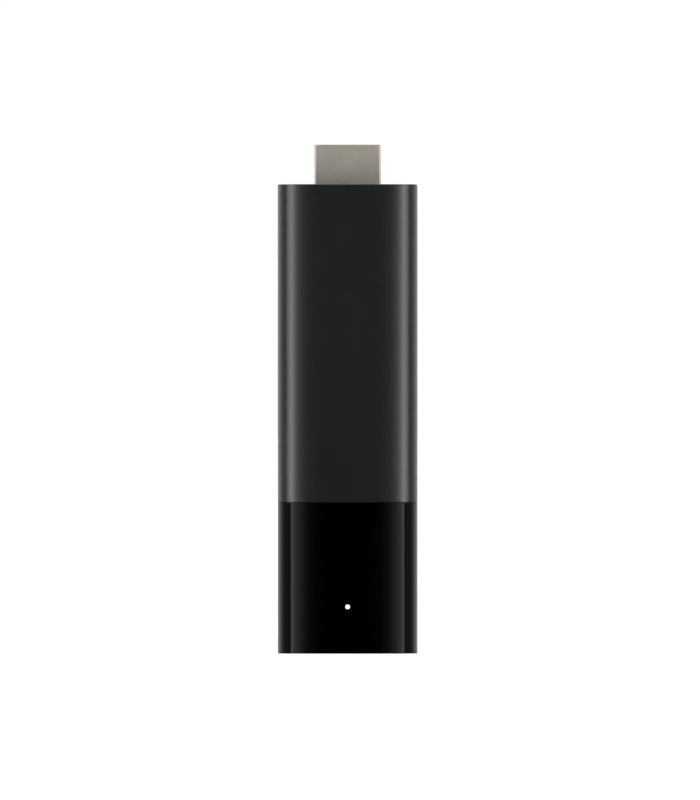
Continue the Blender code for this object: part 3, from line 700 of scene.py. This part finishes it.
def make_floor():
    bm = bmesh.new()
    bmesh.ops.create_grid(bm, x_segments=1, y_segments=1, size=FLOOR_REACH)

    def pale(n):
        speck = n.noise(20 * MM, 3, 0.5)
        colour = n.mix(speck, (0.928, 0.88, 0.864), (0.948, 0.9, 0.884))
        return {
            "Base Color": colour,
            "Roughness": n.spread(speck, 0.3, 0.7, 0.7, 0.8),
            "Emission Color": colour,
        }

    floor = piece("floor", bm, finish("floor_pale", pale, Emission_Strength=0.12))
    floor.visible_glossy = False


# The light falls from the room itself. Going round from the front (0) to behind (1), in half turns:
# dark in front, a soft box that brightens up to its rear edge, a dim gap, then a pale backdrop.
# At eye level and below it the box's rear edge is sharp; above, it is a broad soft glow further back.
# Heights are sines of the elevation: LEVEL ramps hold within LEVEL_BAND, and LOW and HIGH ramps past
# LEVEL_FADE. A run of four heights says where a light starts, is full, begins to fall, and ends.
LEVEL_EDGE = 71.5 / 180
LOW_EDGE = 79.5 / 180
LEVEL_BOX = (
    (0.0, 0.0),
    (0.05, 0.02),
    (0.12, 0.063),
    (0.17, 0.13),
    (0.26, 0.35),
    (0.33, 0.6),
    (LEVEL_EDGE - 0.005, 1.0),
    (LEVEL_EDGE, 0.0),
)
LOW_BOX = ((0.0, 0.0), (0.2, 0.0), (0.3, 0.1), (0.36, 0.42), (LOW_EDGE - 0.01, 0.98), (LOW_EDGE, 0.0))
HIGH_BOX = (
    (0.0, 0.0),
    (0.25, 0.0),
    (0.33, 0.2),
    (0.39, 0.6),
    (0.43, 0.9),
    (0.48, 0.9),
    (0.5, 0.3),
    (0.52, 0.0),
)
LEVEL_BACKDROP = (
    (0.0, 0.0),
    (0.36, 0.0),
    (LEVEL_EDGE, 0.21),
    (0.55, 0.21),
    (0.6, 0.3),
    (0.68, 0.65),
    (0.76, 0.9),
    (0.84, 0.75),
    (1.0, 1.0),
)
LOW_BACKDROP = ((0.0, 0.0), (0.7, 0.0), (0.71, 0.08), (0.8, 0.12), (0.87, 0.4), (0.93, 1.2), (1.0, 1.1))
HIGH_BACKDROP = ((0.0, 0.0), (0.8, 0.0), (0.87, 0.4), (0.92, 3.2), (0.96, 3.2), (1.0, 1.0))
LEVEL_BAND = 0.02
LEVEL_FADE = 0.03
BOX_HEIGHTS = (-0.75, -0.45, 0.5, 0.8)
BACKDROP_HEIGHTS = (-0.3, -0.12, 0.3, 0.6)
DOME_START, DOME_FULL = 0.45, 0.8
BOX_LIGHT = 2.6
DOME_LIGHT = 1.7
FILL_LIGHT = 0.04
FILL_START = 0.36
STUDIO_TINT = (0.94, 0.99, 1.01)
SEEN_WHITE = 1.02


def by_height(n, around, up, at_level, low, high):
    """Light that changes from one ramp to another as the direction leaves eye level."""
    below = n.spread(up, -LEVEL_FADE, -LEVEL_BAND, 1.0, 0.0, True)
    above = n.spread(up, LEVEL_BAND, LEVEL_FADE, smooth=True)
    return n.mix(above, n.mix(below, n.ramp(around, at_level), n.ramp(around, low)), n.ramp(around, high))


def between(n, up, start, full, fall, end):
    """Full between two heights, and smoothly gone past them."""
    return n.math("MULTIPLY", n.spread(up, start, full, smooth=True), n.spread(up, fall, end, 1.0, 0.0, True))


def make_world():
    """The studio's light. The camera itself sees plain white behind the object."""
    world = bpy.data.worlds.new("studio")
    bpy.context.scene.world = world
    world.use_nodes = True
    tree = world.node_tree
    n = Nodes(tree)
    direction = n.add("ShaderNodeTexCoord").outputs["Generated"]
    split = n.add("ShaderNodeSeparateXYZ")
    n.feed(split.inputs[0], direction)
    x, y, z = split.outputs
    turn = n.math("ARCTAN2", n.math("ABSOLUTE", x), n.math("MULTIPLY", y, -1.0))
    around = n.math("DIVIDE", turn, math.pi)
    box = n.math("MULTIPLY", by_height(n, around, z, LEVEL_BOX, LOW_BOX, HIGH_BOX), BOX_LIGHT)
    backdrop = by_height(n, around, z, LEVEL_BACKDROP, LOW_BACKDROP, HIGH_BACKDROP)
    dome = n.math("MULTIPLY", n.spread(z, DOME_START, DOME_FULL, smooth=True), DOME_LIGHT)
    fill = n.math("MULTIPLY", n.spread(around, FILL_START, LEVEL_EDGE), FILL_LIGHT)
    sides = n.math("MULTIPLY", box, between(n, z, *BOX_HEIGHTS))
    behind = n.math("MULTIPLY", backdrop, between(n, z, *BACKDROP_HEIGHTS))
    light = n.math("ADD", n.math("ADD", n.math("ADD", sides, behind), dome), fill)
    room = tree.nodes["Background"]
    tinted = n.mix(1.0, STUDIO_TINT, light, "MULTIPLY")
    n.feed(room.inputs["Color"], tinted)
    seen = n.add("ShaderNodeBackground")
    seen.inputs["Color"].default_value = (1, 1, 1, 1)
    seen.inputs["Strength"].default_value = SEEN_WHITE
    either = n.add("ShaderNodeMixShader")
    n.feed(either.inputs[0], n.add("ShaderNodeLightPath").outputs["Is Camera Ray"])
    n.feed(either.inputs[1], room.outputs[0])
    n.feed(either.inputs[2], seen.outputs[0])
    output = next(node for node in tree.nodes if node.type == "OUTPUT_WORLD")
    n.feed(output.inputs["Surface"], either.outputs[0])


def main():
    make_camera()
    finishes = make_finishes()
    finish_cad_nodes(finishes)
    make_sleeve(finishes["satin"])
    make_tail(finishes["gloss"])
    make_light(finishes["lens"])
    make_end_plate(finishes["plate"])
    make_plug(finishes["plug"])
    make_socket(finishes["plug"])
    for insulator in ("hdmi_insulator", "usb_insulator"):
        soften(insulator, 0.05 * MM)
    make_floor()
    make_world()
    bpy.context.scene.view_settings.view_transform = "Standard"


main()
